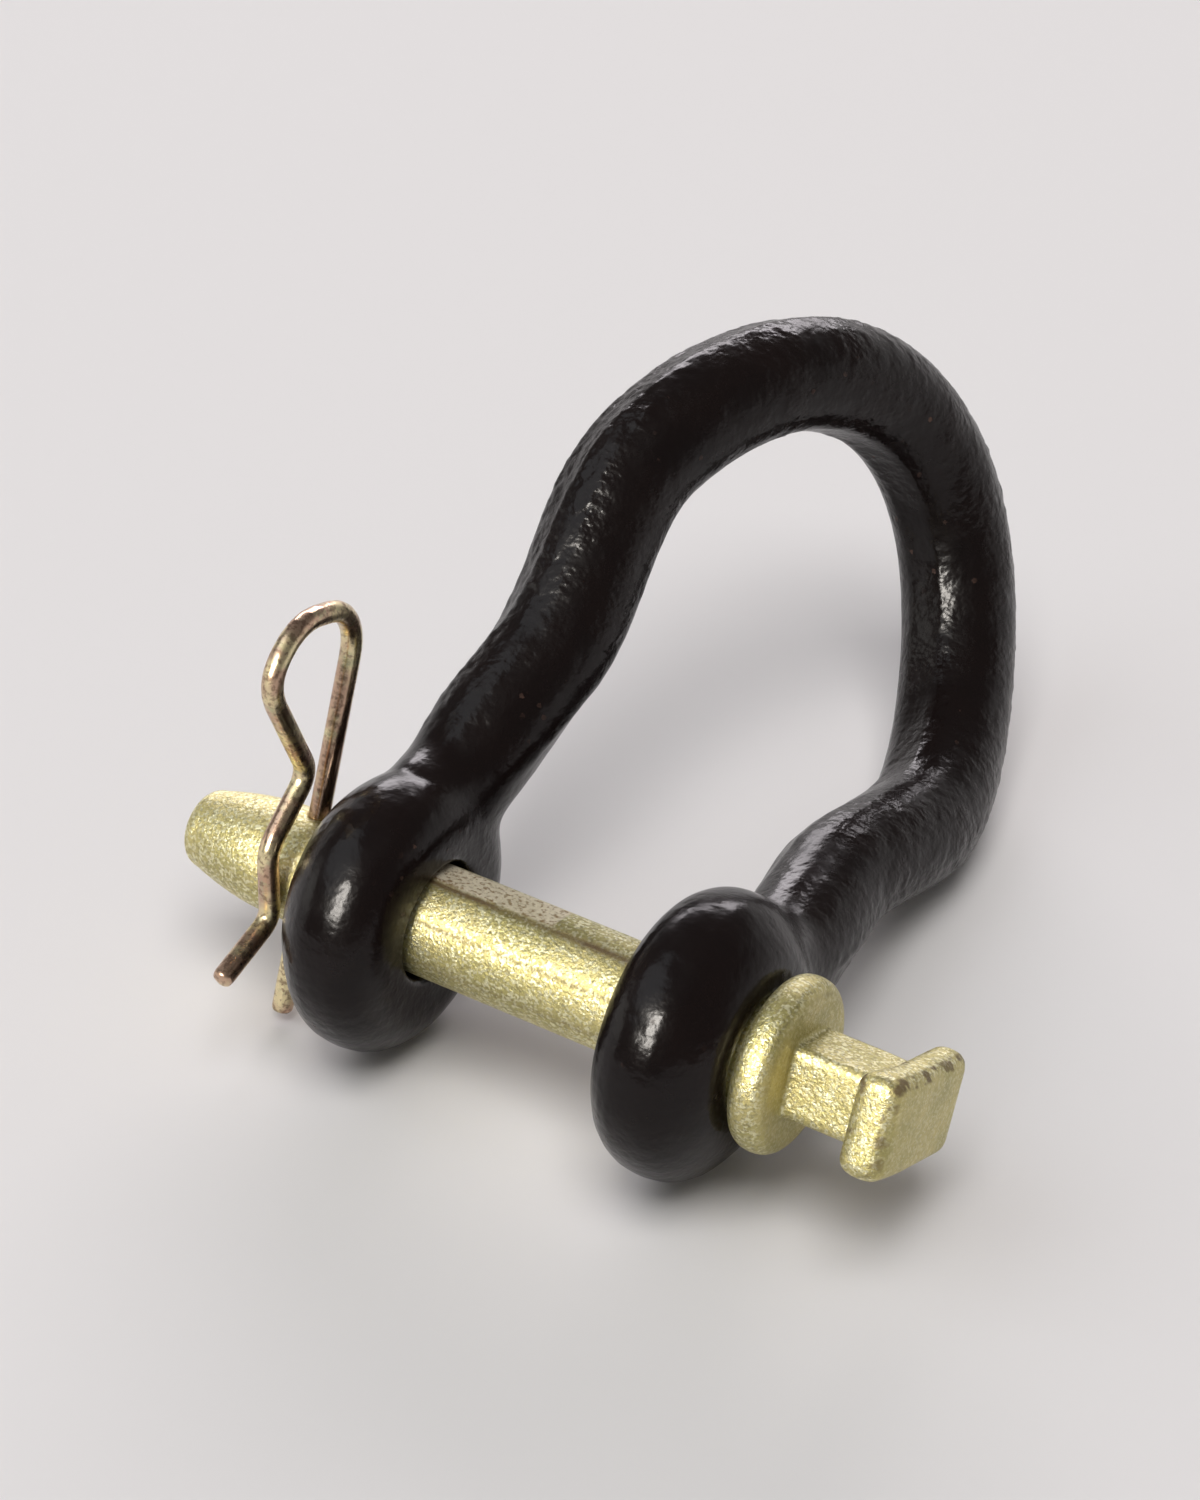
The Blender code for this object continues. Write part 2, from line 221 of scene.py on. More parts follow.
def noise_of(tree, vector, scale, detail=2.0, roughness=0.5):
    """Noise on a vector, about 0 to 1."""
    node = tree.nodes.new("ShaderNodeTexNoise")
    tree.links.new(vector, node.inputs["Vector"])
    if isinstance(scale, (int, float)):
        node.inputs["Scale"].default_value = scale
    else:
        tree.links.new(scale, node.inputs["Scale"])
    node.inputs["Detail"].default_value = detail
    node.inputs["Roughness"].default_value = roughness
    return node.outputs["Fac"]


def cells_of(tree, vector, scale, output="Distance"):
    """Voronoi cells on a vector; scale is a socket."""
    node = tree.nodes.new("ShaderNodeTexVoronoi")
    tree.links.new(vector, node.inputs["Vector"])
    tree.links.new(scale, node.inputs["Scale"])
    return node.outputs[output]


# Shared effects. A scale is in cells or waves to the metre, and a depth is a share of the whole effect
RAGGED_SCALE, RAGGED_DEPTH = 1900.0, 0.25
SPECK_PATCH_SCALE = 55.0
SPECK_PATCH_RARE, SPECK_PATCH_FULL = 0.72, 0.78
SPECK_PATCH_SPREAD = 0.3
DENT_SCALE = 430.0
CREASE_SCALE, CREASE_DEPTH = 900.0, 0.35
SWELL_SCALE, SWELL_DEPTH = 190.0, 0.8
HIDE_PATCH_SCALE, HIDE_PATCH_RANGE, CALM_SHARE = 70.0, (0.38, 0.62), 0.5
COARSE_SCALE, COARSE_DEPTH = 900.0, 0.6
GRAIN_DEPTH = 0.6
CLOUD_SCALE = 60.0


def make_specks_group():
    """Small scattered specks: a mask that is 1 on a speck."""
    tree, source, result = new_group(
        "scattered_specks",
        (("Vector", "NodeSocketVector", None), ("Scale", "NodeSocketFloat", 300.0),
         ("Size", "NodeSocketFloat", 0.2), ("Amount", "NodeSocketFloat", 0.4)),
        (("Mask", "NodeSocketFloat"),),
    )
    place = source.outputs["Vector"]
    cells = cells_of(tree, place, source.outputs["Scale"])
    ragged = noise_of(tree, place, RAGGED_SCALE, 2.0)
    edge = maths(tree, "MULTIPLY_ADD", ragged, RAGGED_DEPTH, cells)
    near = maths(tree, "ADD", source.outputs["Size"], RAGGED_DEPTH / 2)
    spot = maths(tree, "LESS_THAN", edge, near)
    patches = noise_of(tree, place, SPECK_PATCH_SCALE, 3.0, 0.6)
    spread = maths(tree, "MULTIPLY", source.outputs["Amount"], SPECK_PATCH_SPREAD)
    rare = maths(tree, "SUBTRACT", SPECK_PATCH_RARE, spread)
    where = ramp(tree, patches, rare, SPECK_PATCH_FULL)
    mask = maths(tree, "MULTIPLY", spot, where, clamp=True)
    tree.links.new(mask, result.inputs["Mask"])


def make_hide_group():
    """The hide of a forging under thick paint: soft dents a millimetre or two wide, stronger in places."""
    tree, source, result = new_group(
        "forged_hide",
        (("Vector", "NodeSocketVector", None), ("Dent Scale", "NodeSocketFloat", DENT_SCALE),
         ("Rough", "NodeSocketFloat", 1.0)),
        (("Height", "NodeSocketFloat"), ("Patches", "NodeSocketFloat")),
    )
    place = source.outputs["Vector"]
    dents = noise_of(tree, place, source.outputs["Dent Scale"], 1.0, 0.5)
    creases = noise_of(tree, place, CREASE_SCALE, 1.0, 0.5)
    swells = noise_of(tree, place, SWELL_SCALE, 1.0, 0.5)
    patches = noise_of(tree, place, HIDE_PATCH_SCALE, 2.0, 0.5)
    uneven = ramp(tree, patches, *HIDE_PATCH_RANGE, CALM_SHARE, 1.0)
    strength = maths(tree, "MULTIPLY", uneven, source.outputs["Rough"])
    height = maths(tree, "MULTIPLY_ADD", creases, CREASE_DEPTH, dents)
    height = maths(tree, "MULTIPLY_ADD", swells, SWELL_DEPTH, height)
    tree.links.new(maths(tree, "MULTIPLY", height, strength), result.inputs["Height"])
    tree.links.new(patches, result.inputs["Patches"])


def make_flake_group():
    """The grain of zinc plating on a blasted forging: flat crystals that each lean their own way."""
    tree, source, result = new_group(
        "zinc_flake",
        (("Vector", "NodeSocketVector", None), ("Flake Scale", "NodeSocketFloat", 1500.0)),
        (("Height", "NodeSocketFloat"), ("Flake", "NodeSocketFloat"), ("Cloud", "NodeSocketFloat")),
    )
    place = source.outputs["Vector"]
    flake = cells_of(tree, place, source.outputs["Flake Scale"], output="Color")
    apart = tree.nodes.new("ShaderNodeSeparateColor")
    tree.links.new(flake, apart.inputs["Color"])
    grain = noise_of(tree, place, source.outputs["Flake Scale"], 3.0, 0.65)
    coarse = noise_of(tree, place, COARSE_SCALE, 3.0, 0.6)
    cloud = noise_of(tree, place, CLOUD_SCALE, 4.0, 0.6)
    coarse = maths(tree, "MULTIPLY", coarse, COARSE_DEPTH)
    height = maths(tree, "MULTIPLY_ADD", grain, GRAIN_DEPTH, coarse)
    tree.links.new(height, result.inputs["Height"])
    tree.links.new(apart.outputs["Red"], result.inputs["Flake"])
    tree.links.new(cloud, result.inputs["Cloud"])


def place_group(tree, group, vector, **values):
    """Put a node group in a material with its own values."""
    node = tree.nodes.new("ShaderNodeGroup")
    node.node_tree = group
    tree.links.new(vector, node.inputs["Vector"])
    for label, value in values.items():
        node.inputs[label.replace("_", " ")].default_value = value
    return node


def new_material(name):
    """A material with a Principled shader and Object coordinates."""
    made = bpy.data.materials.new(name)
    made.use_nodes = True
    tree = made.node_tree
    shader = tree.nodes["Principled BSDF"]
    coordinates = tree.nodes.new("ShaderNodeTexCoord")
    return made, tree, shader, coordinates.outputs["Object"]


def bump(tree, height, strength, distance, under=None):
    """A Bump node over an optional normal."""
    node = tree.nodes.new("ShaderNodeBump")
    node.inputs["Strength"].default_value = strength
    node.inputs["Distance"].default_value = distance
    tree.links.new(height, node.inputs["Height"])
    if under is not None:
        tree.links.new(under, node.inputs["Normal"])
    return node.outputs["Normal"]


# Sizes and colours that a user would change

class BowFinish(bpy.types.PropertyGroup):
    """The painted forging."""
    colour: bpy.props.FloatVectorProperty(
        name="Paint", description="Colour of the black paint", subtype="COLOR", size=3,
        min=0.0, max=1.0, default=(0.0054, 0.0036, 0.0036))
    warm: bpy.props.FloatVectorProperty(
        name="Brown cast", description="Colour of the thinner paint", subtype="COLOR", size=3,
        min=0.0, max=1.0, default=(0.0105, 0.0058, 0.0050))
    gloss: bpy.props.FloatProperty(
        name="Paint roughness", description="Roughness of the dry paint", subtype="FACTOR",
        min=0.0, max=1.0, default=0.16)
    skin: bpy.props.FloatProperty(
        name="Skin size", description="Size of the squares of the bow's surface",
        subtype="DISTANCE", unit="LENGTH", min=0.0004, max=0.004, default=0.00088)
    hammer: bpy.props.FloatProperty(
        name="Hammer marks", description="Depth of the forging's uneven skin",
        subtype="DISTANCE", unit="LENGTH", min=0.0, max=0.002, default=0.00016)
    boss: bpy.props.FloatProperty(
        name="Boss", description="How far each eye swells outwards round its bore",
        subtype="DISTANCE", unit="LENGTH", min=0.0, max=0.0035, default=0.003)
    flash: bpy.props.FloatProperty(
        name="Flash", description="Height of the trimmed ridges along the bow",
        subtype="DISTANCE", unit="LENGTH", min=0.0, max=0.002, default=0.00028)


class PinFinish(bpy.types.PropertyGroup):
    """The plated pin."""
    colour: bpy.props.FloatVectorProperty(
        name="Zinc", description="Colour of the yellow zinc", subtype="COLOR", size=3,
        min=0.0, max=1.0, default=(0.60, 0.525, 0.235))
    metal: bpy.props.FloatProperty(
        name="Metal", description="How metallic the clean plating is", subtype="FACTOR",
        min=0.0, max=1.0, default=0.82)
    skin: bpy.props.FloatProperty(
        name="Skin size", description="Size of the squares of the pin's surface",
        subtype="DISTANCE", unit="LENGTH", min=0.0003, max=0.002, default=0.0005)


class ClipFinish(bpy.types.PropertyGroup):
    """The spring wire."""
    colour: bpy.props.FloatVectorProperty(
        name="Wire", description="Colour of the hairpin's plating", subtype="COLOR", size=3,
        min=0.0, max=1.0, default=(0.80, 0.69, 0.42))
    fill: bpy.props.FloatProperty(
        name="Fill", description="What the wire's skin regains after smoothing",
        subtype="DISTANCE", unit="LENGTH", min=0.0, max=0.0006, default=0.0005)
    skin: bpy.props.FloatProperty(
        name="Skin size", description="Size of the squares of the wire's surface",
        subtype="DISTANCE", unit="LENGTH", min=0.0003, max=0.001, default=0.0004)
    tail: bpy.props.FloatProperty(
        name="Tail", description="What the straight leg's end reaches further",
        subtype="DISTANCE", unit="LENGTH", min=0.0, max=0.0024, default=0.0014)


class StageLook(bpy.types.PropertyGroup):
    """Floor, backdrop and the world's light."""
    colour: bpy.props.FloatVectorProperty(
        name="Floor", description="Colour of the floor and backdrop", subtype="COLOR", size=3,
        min=0.0, max=1.0, default=(0.775, 0.755, 0.748))
    sky: bpy.props.FloatProperty(
        name="Sky", description="Strength of the even light all round",
        min=0.0, max=3.0, default=0.2)
    sweep: bpy.props.FloatProperty(
        name="Sweep", description="Strength of the pale wall behind",
        min=0.0, max=3.0, default=0.7)


# Finishes

def named_mask(tree, name):
    """A mask that was stored on the mesh."""
    node = tree.nodes.new("ShaderNodeAttribute")
    node.attribute_name = name
    return node.outputs["Fac"]


# Paint: scales to the metre, the range in which each noise takes hold, heights of the bumps, and what each
# mask adds to the roughness
RUST = (0.16, 0.085, 0.06)
RUST_SCALE, RUST_SIZE, RUST_AMOUNT, RUST_SHOWS = 240.0, 0.15, 0.5, 0.6
SMEAR_SCALE, SMEAR_RANGE, SMEAR_ADDS = 95.0, (0.3, 0.75), 0.1
HIDE_ADDS, RUST_ADDS = 0.06, 0.3
HIDE_BUMP = 0.4 * MM
PEEL_SCALE, PEEL_STRENGTH, PEEL_BUMP = 1100.0, 0.5, 0.05 * MM
PAINT_SPECULAR = 0.21


def paint_material(look):
    """Glossy black paint over the forged hide, with a few rust specks."""
    made, tree, shader, place = new_material("black_paint")
    rough_hide = named_mask(tree, "rough")
    hide = place_group(tree, bpy.data.node_groups["forged_hide"], place)
    tree.links.new(rough_hide, hide.inputs["Rough"])
    specks = place_group(tree, bpy.data.node_groups["scattered_specks"], place,
                         Scale=RUST_SCALE, Size=RUST_SIZE, Amount=RUST_AMOUNT)
    tint = blend_colours(tree, hide.outputs["Patches"], tuple(look.colour), tuple(look.warm))
    rust = maths(tree, "MULTIPLY", specks.outputs["Mask"], RUST_SHOWS)
    tree.links.new(blend_colours(tree, rust, tint, RUST), shader.inputs["Base Color"])
    smear = noise_of(tree, place, SMEAR_SCALE, 4.0, 0.6)
    rough = ramp(tree, smear, *SMEAR_RANGE, look.gloss, look.gloss + SMEAR_ADDS)
    rough = maths(tree, "MULTIPLY_ADD", rough_hide, HIDE_ADDS, rough)
    rough = maths(tree, "MULTIPLY_ADD", specks.outputs["Mask"], RUST_ADDS, rough)
    tree.links.new(rough, shader.inputs["Roughness"])
    peel = noise_of(tree, place, PEEL_SCALE, 2.0, 0.5)
    dented = bump(tree, hide.outputs["Height"], 1.0, HIDE_BUMP)
    tree.links.new(bump(tree, peel, PEEL_STRENGTH, PEEL_BUMP, dented), shader.inputs["Normal"])
    shader.inputs["Specular IOR Level"].default_value = PAINT_SPECULAR
    return made


# Zinc: tones as shares of its colour, scales to the metre, ranges in which a noise takes hold, and heights
# of the bumps
DARK_TONE = (0.74, 0.76, 0.68)
LIGHT_TONE = (1.30, 1.42, 2.05)
PIT_TONE = 0.42
ZINC_FLAKE_SCALE, LIGHT_FLAKES = 1700.0, (0.45, 0.9)
CLOUD_RANGE, WEAR_RANGE = (0.35, 0.65), (0.3, 0.6)
LEAST_WORN, LEAST_CAKED = 0.8, 0.6
SPECK_SCALE, SPECK_SIZE, SPECK_AMOUNT, SPECK_SHOWS = 520.0, 0.14, 0.4, 0.6
PIT_SCALE, PIT_RANGE, PIT_DEPTH = 1150.0, (0.38, 0.50), 0.6
# How much of the grain's colour is left out on faces turned to +X, a painted even reflection of the floor
PAINTED_REFLECTION_SHOWS = 0.7
CRUST_SCALE, CRUST_RANGE = 820.0, (0.36, 0.52)
CRUST_DARK, CRUST_PALE = (0.26, 0.16, 0.07), (0.74, 0.66, 0.50)
DIRT = (0.12, 0.07, 0.03)
PLAIN_ROUGH, FLAKE_ROUGH, WORN_ADDS = 0.50, 0.34, 0.25
DIRT_DULLS, FLAT_DULLS = 0.6, 0.75
GRAIN_BUMP = 0.34 * MM
TILT_STRENGTH, TILT_BUMP = 0.8, 0.18 * MM
ZINC_COAT, ZINC_COAT_ROUGH = 0.1, 0.28


def zinc_material(look):
    """Yellow zinc with a dense, sparkling grain, a rusty flat and dirt in its grooves."""
    made, tree, shader, place = new_material("yellow_zinc_grain")
    flake = place_group(tree, bpy.data.node_groups["zinc_flake"], place, Flake_Scale=ZINC_FLAKE_SCALE)
    specks = place_group(tree, bpy.data.node_groups["scattered_specks"], place,
                         Scale=SPECK_SCALE, Size=SPECK_SIZE, Amount=SPECK_AMOUNT)
    dark = tuple(c * f for c, f in zip(look.colour, DARK_TONE))
    light = tuple(min(1.0, c * f) for c, f in zip(look.colour, LIGHT_TONE))
    clouds = ramp(tree, flake.outputs["Cloud"], *CLOUD_RANGE)
    cloudy = blend_colours(tree, clouds, dark, tuple(look.colour))
    grained = blend_colours(tree, ramp(tree, flake.outputs["Flake"], *LIGHT_FLAKES), cloudy, light)
    pits = ramp(tree, noise_of(tree, place, PIT_SCALE, 3.0, 0.6), *PIT_RANGE, PIT_DEPTH, 0.0)
    grained = blend_colours(tree, pits, grained, tuple(c * PIT_TONE for c in look.colour))
    # On faces turned to +X the pale flakes and pits are left out of the colour: a painted even reflection
    # of the floor
    smooth = maths(tree, "MULTIPLY", named_mask(tree, "smooth"), PAINTED_REFLECTION_SHOWS)
    grained = blend_colours(tree, smooth, grained, cloudy)

    crust = ramp(tree, noise_of(tree, place, CRUST_SCALE, 4.0, 0.65), *CRUST_RANGE)
    rusty = blend_colours(tree, crust, CRUST_DARK, CRUST_PALE)
    worn = ramp(tree, flake.outputs["Cloud"], *WEAR_RANGE, LEAST_WORN, 1.0)
    flat = maths(tree, "MULTIPLY", named_mask(tree, "flat"), worn)
    grained = blend_colours(tree, flat, grained, rusty)
    caked = ramp(tree, flake.outputs["Cloud"], *WEAR_RANGE, LEAST_CAKED, 1.0)
    dirt = maths(tree, "MULTIPLY", named_mask(tree, "dirt"), caked)
    dirt = maths(tree, "MAXIMUM", dirt, maths(tree, "MULTIPLY", specks.outputs["Mask"], SPECK_SHOWS))
    tree.links.new(blend_colours(tree, dirt, grained, DIRT), shader.inputs["Base Color"])

    rough = ramp(tree, flake.outputs["Flake"], 0.0, 1.0, PLAIN_ROUGH, FLAKE_ROUGH, smooth=False)
    rough = maths(tree, "MULTIPLY_ADD", maths(tree, "MAXIMUM", flat, dirt), WORN_ADDS, rough)
    tree.links.new(rough, shader.inputs["Roughness"])
    dirty = maths(tree, "MULTIPLY", dirt, DIRT_DULLS)
    dull = maths(tree, "MAXIMUM", dirty, maths(tree, "MULTIPLY", flat, FLAT_DULLS))
    metallic = maths(tree, "MULTIPLY_ADD", dull, -look.metal, look.metal)
    tree.links.new(metallic, shader.inputs["Metallic"])
    grainy = bump(tree, flake.outputs["Height"], 1.0, GRAIN_BUMP)
    tilted = bump(tree, flake.outputs["Flake"], TILT_STRENGTH, TILT_BUMP, grainy)
    tree.links.new(tilted, shader.inputs["Normal"])
    shader.inputs["Coat Weight"].default_value = ZINC_COAT
    shader.inputs["Coat Roughness"].default_value = ZINC_COAT_ROUGH
    return made


# Wire: for each stain its scale to the metre, the range in which it takes hold, how much of it shows, and
# its colour, which is rose, grey green or brown
WIRE_STAINS = (
    (110.0, (0.38, 0.56), 0.8, (0.50, 0.31, 0.24)),
    (320.0, (0.55, 0.72), 0.6, (0.46, 0.48, 0.30)),
    (780.0, (0.50, 0.62), 0.65, (0.20, 0.12, 0.08)),
)
WIRE_FLAKE_SCALE = 1100.0
WIRE_CLOUDS, WIRE_GLOSSY, WIRE_DULL = (0.3, 0.7), 0.20, 0.36
WIRE_BUMP_STRENGTH, WIRE_BUMP = 0.4, 0.1 * MM


def wire_material(look):
    """Smooth plated spring wire with rosy, grey and brown stains."""
    made, tree, shader, place = new_material("zinc_wire")
    flake = place_group(tree, bpy.data.node_groups["zinc_flake"], place, Flake_Scale=WIRE_FLAKE_SCALE)
    toned = tuple(look.colour)
    for scale, holds, shows, colour in WIRE_STAINS:
        stain = ramp(tree, noise_of(tree, place, scale, 3.0, 0.6), *holds)
        toned = blend_colours(tree, maths(tree, "MULTIPLY", stain, shows), toned, colour)
    tree.links.new(toned, shader.inputs["Base Color"])
    shader.inputs["Metallic"].default_value = 1.0
    rough = ramp(tree, flake.outputs["Cloud"], *WIRE_CLOUDS, WIRE_GLOSSY, WIRE_DULL)
    tree.links.new(rough, shader.inputs["Roughness"])
    dimpled = bump(tree, flake.outputs["Height"], WIRE_BUMP_STRENGTH, WIRE_BUMP)
    tree.links.new(dimpled, shader.inputs["Normal"])
    return made


# Shapes

def ease(t):
    """Smooth rise from 0 to 1."""
    t = min(max(t, 0.0), 1.0)
    return t * t * (3 - 2 * t)


def pin_distance(place):
    """How far a place is from the pin's axis."""
    return math.hypot(place.y - PIN_AXIS.y, place.z - PIN_AXIS.z)


def out_of_pin(place):
    """The way straight out from the pin's axis to a place."""
    return Vector((0.0, place.y - PIN_AXIS.y, place.z - PIN_AXIS.z))


def store_mask(piece, name, values):
    """Keep one number for each vertex, for a material to read."""
    mask = piece.data.attributes.new(name, "FLOAT", "POINT")
    mask.data.foreach_set("value", values)


# The bow

def bar_point(v, side):
    """Centre of the bar in the frame of the world: v is 0 to 1 up a leg, 1 to 2 round to the apex."""
    crown_start = APEX - CROWN_RISE
    if v <= 1.0:
        reach = crown_start * v
        flare = ease((reach - SHOULDER_START) / (crown_start - SHOULDER_START))
        width = LEG_SPREAD + (CROWN_SPREAD - LEG_SPREAD) * flare
    else:
        angle = (v - 1.0) * math.pi / 2
        width = CROWN_SPREAD * math.cos(angle)
        reach = crown_start + CROWN_RISE * math.sin(angle)
    turn = TWIST * (1 - (1 - min(reach / APEX, 1.0)) ** TWIST_EASE)
    bent = Vector((side * width * math.cos(turn), reach, -side * width * math.sin(turn) - BORE_LIFT))
    middle = Vector((BOW_MIDDLE, PIN_AXIS.y, PIN_AXIS.z))
    return middle + Matrix.Rotation(BOW_TILT, 3, "X") @ bent


def bar_line():
    """Points of the bar's centre line, each with the direction that faces out of the bow there."""
    points = [bar_point(2.0 * k / LINE_STEPS, 1) for k in range(LINE_STEPS + 1)]
    points += [bar_point(2.0 * k / LINE_STEPS, -1) for k in range(LINE_STEPS - 1, -1, -1)]
    line = []
    for k, point in enumerate(points):
        tangent = (points[min(k + 1, len(points) - 1)] - points[max(k - 1, 0)]).normalized()
        facing = points[-1 - k] - point
        outward = -(facing - tangent * facing.dot(tangent))
        if outward.length < MM:
            from_eye = point - points[0]
            outward = from_eye - tangent * from_eye.dot(tangent)
        from_apex = abs(k - LINE_STEPS)
        if from_apex < LINE_STEPS // 3:
            crown = point - (points[0] + points[-1]) / 2
            outward = outward.normalized() * (from_apex / (LINE_STEPS / 3)) ** 2
            outward += (crown - tangent * crown.dot(tangent)).normalized()
        line.append((point, outward.normalized()))
    return line


# The root of a leg: where its fillet starts and ends from the pin's axis, and how far round the eye it
# goes, as the cosine of the turn away from the leg
ROOT_INNER, ROOT_INNER_FADE = 22 * MM, 5 * MM
ROOT_OUTER, ROOT_OUTER_FADE = 52 * MM, 10 * MM
ROOT_SIDE, ROOT_SIDE_FADE = 0.45, 0.3
ROOT_FACTOR, ROOT_REPEATS = 0.7, 30
LEAST_WEIGHT = 0.01


def soften_root(bow):
    """Blend each leg into its eye as the forging's fillet does."""
    leg = Matrix.Rotation(BOW_TILT, 3, "X") @ Vector((0.0, 1.0, 0.0))
    root = bow.vertex_groups.new(name="root")
    for vertex in bow.data.vertices:
        out = out_of_pin(vertex.co)
        away = out.length
        weight = ease((away - ROOT_INNER) / ROOT_INNER_FADE)
        weight *= ease((ROOT_OUTER - away) / ROOT_OUTER_FADE)
        weight *= ease((out.dot(leg) / away - ROOT_SIDE) / ROOT_SIDE_FADE)
        if weight > LEAST_WEIGHT:
            root.add([vertex.index], weight, "REPLACE")
    modifier = bow.modifiers.new("Fillet", "SMOOTH")
    modifier.factor = ROOT_FACTOR
    modifier.iterations = ROOT_REPEATS
    modifier.vertex_group = "root"
    apply_modifier(bow, modifier)
    bow.vertex_groups.clear()


# The boss on an eye: how far inside the rim it starts, and over what width it rises
BOSS_RIM, BOSS_SLOPE = 3 * MM, 11 * MM


def round_out_eyes(bow, boss):
    """Swell the outer half of each eye round its bore, so that it nearly meets the flange."""
    vertices = bow.data.vertices
    moved = []
    for vertex in vertices:
        place = vertex.co.copy()
        side = place.x - BOW_MIDDLE
        outer = max(abs(side) - EYE_MIDDLE, 0.0) / (EYE_THICKNESS / 2)
        swell = boss * outer * ease((EYE_RADIUS - BOSS_RIM - pin_distance(place)) / BOSS_SLOPE)
        place.x += math.copysign(swell, side)
        moved.extend(place)
    vertices.foreach_set("co", moved)
    bow.data.update()


# The bow's skin: angles round the bar in radians, scales of the noise to the metre
LEG_FADE = 10 * MM
FLASH_WIDTH = 0.075
INNER_FLASH = 0.6
FLASH_BREAKS, FLASH_SHARE, FLASH_RAGGED = 110.0, 0.65, 0.6
BAND_HALF_ANGLE, BAND_FADE = 2.2 * FLAT_HALF_ANGLE, 0.3
DENTS, FINE_DENTS = 120.0, 260.0
WRINKLES, FINE_WRINKLES = 300.0, 520.0
WRINKLE_HEIGHT = 2.0
EYE_DENTS = 0.3
EYE_ROUGH, LEG_ROUGH, ROUGH_FADE = 0.36, 0.56, 55 * MM


def forge_marks(bow, hammer, flash):
    """Dent the bow's skin, leave the trimmed flash along it, and store where the hide is rough."""
    line = bar_line()
    tree = kdtree.KDTree(len(line))
    for k, (point, _) in enumerate(line):
        tree.insert(point, k)
    tree.balance()
    vertices = bow.data.vertices
    places = [vertex.co.copy() for vertex in vertices]
    normals = [vertex.normal.copy() for vertex in vertices]
    moved, roughness = [], []
    for place, normal in zip(places, normals):
        nearest, k, _ = tree.find(place)
        outward = line[k][1]
        away = pin_distance(place) - EYE_RADIUS
        leg = ease(away / LEG_FADE)
        from_centre = (place - nearest).normalized()
        angle = math.acos(min(max(from_centre.dot(outward), -1.0), 1.0))
        inner = math.pi - angle
        edge = math.exp(-(((angle - FLAT_HALF_ANGLE) / FLASH_WIDTH) ** 2))
        edge += INNER_FLASH * math.exp(-(((inner - FLAT_HALF_ANGLE) / FLASH_WIDTH) ** 2))
        band = 1.0 - ease((angle - BAND_HALF_ANGLE) / BAND_FADE)
        broken = FLASH_SHARE + FLASH_RAGGED * noise.noise(place * FLASH_BREAKS)
        dents = noise.noise(place * DENTS) * 0.5 + noise.noise(place * FINE_DENTS) * 0.5
        wrinkles = abs(noise.noise(place * WRINKLES)) + 0.5 * noise.noise(place * FINE_WRINKLES)
        rise = hammer * dents * (EYE_DENTS + (1.0 - EYE_DENTS) * leg)
        rise += leg * (flash * edge * max(broken, 0.0) + WRINKLE_HEIGHT * hammer * wrinkles * band)
        moved.extend(place + normal * rise)
        roughness.append(EYE_ROUGH + LEG_ROUGH * ease(away / ROUGH_FADE))
    vertices.foreach_set("co", moved)
    store_mask(bow, "rough", roughness)
    bow.data.update()


# The shaft of the pin as it lies on its axis, and the marks along it: turn from +Z towards +Y in degrees
PIN_RADIUS = 12.7 * MM
SHAFT_START, SHAFT_END, SHAFT_FADE = -62.0 * MM, 30.0 * MM, 4 * MM
SHAFT_CLEARANCE, SHAFT_SKIN = 0.8 * MM, 0.5 * MM
FLAT_DEPTH = 0.7 * MM
FLAT_TURN = math.radians(16.0)
FLAT_START, FLAT_END = -58.0 * MM, 1.6 * MM
FLAT_OUT = Vector((0.0, math.sin(FLAT_TURN), math.cos(FLAT_TURN)))
FLAT_EDGE_BELOW, FLAT_EDGE = 0.25 * MM, 0.2 * MM
FLAT_END_FADE, FLAT_START_FADE = 0.6 * MM, 1.0 * MM
FLAT_CLEARANCE, FLAT_SKIN = 0.4 * MM, 0.3 * MM
FLAT_WEAR, FLAT_WEAR_SCALE = 0.10 * MM, 420.0
FLAT_RAG, FLAT_RAG_SCALE = 0.5 * MM, 500.0
GROOVE_BREAKS, GROOVE_SHARE, GROOVE_RAGGED, GROOVE_FILLS = 60.0, 0.6, 0.8, 0.6
# Where a face turns to +X, and over what it fades in, for the painted even reflection of the floor in the
# zinc's colour
PAINTED_REFLECTION_FROM, PAINTED_REFLECTION_FADE = 0.6, 0.3

# Each groove: turn, width in degrees, depth in millimetres, darkness. Each facet: turn, half width, depth
GROOVES = (
    (-7.5, 4.8, 0.20, 1.0),
    (-52.0, 2.6, 0.06, 0.45),
    (-96.0, 4.0, 0.05, 0.3),
    (63.0, 4.0, 0.05, 0.3),
)
FACETS = (
    (-27.0, 13.0, 0.10),
    (-73.0, 15.0, 0.09),
    (-118.0, 16.0, 0.09),
    (42.0, 12.0, 0.08),
)

# The head of the pin: its long way runs from the near end to the far one, turned from +Y towards -Z
HEAD_TURN = math.radians(21.5)
HEAD_ALONG = Vector((0.0, math.cos(HEAD_TURN), -math.sin(HEAD_TURN)))
HEAD_ACROSS = Vector((0.0, math.sin(HEAD_TURN), math.cos(HEAD_TURN)))
HEAD_LENGTH, HEAD_THICKNESS = 35.0 * MM, 8.8 * MM
HEAD_ROOT = 5 * MM
HEAD_LEAN = math.radians(4.0)
HEAD_SWELL, SWELL_FROM = 2.6 * MM, 4 * MM
END_FACE_HOLDS = 0.75

# Dirt on the head's edges and behind the flange's rim: scales of the noise to the metre, where each mask
# starts and over what it rises, and darkness
DIRT_SCALE, FINE_DIRT_SCALE = 380.0, 900.0
SPECKS_FROM, SPECKS_FADE = 0.02, 0.3
UPPER_FROM, UPPER_FADE = -0.1, 0.5
EDGE_FLATNESS, EDGE_FADE, EDGE_DARK = 0.985, 0.12, 0.85
RIM_RADIUS, RIM_WIDTH, RIM_DARK = 17.0 * MM, 0.9 * MM, 0.5
RIM_FACING, RIM_FACING_FADE, RIM_EVEN = 0.5, 0.4, 0.4


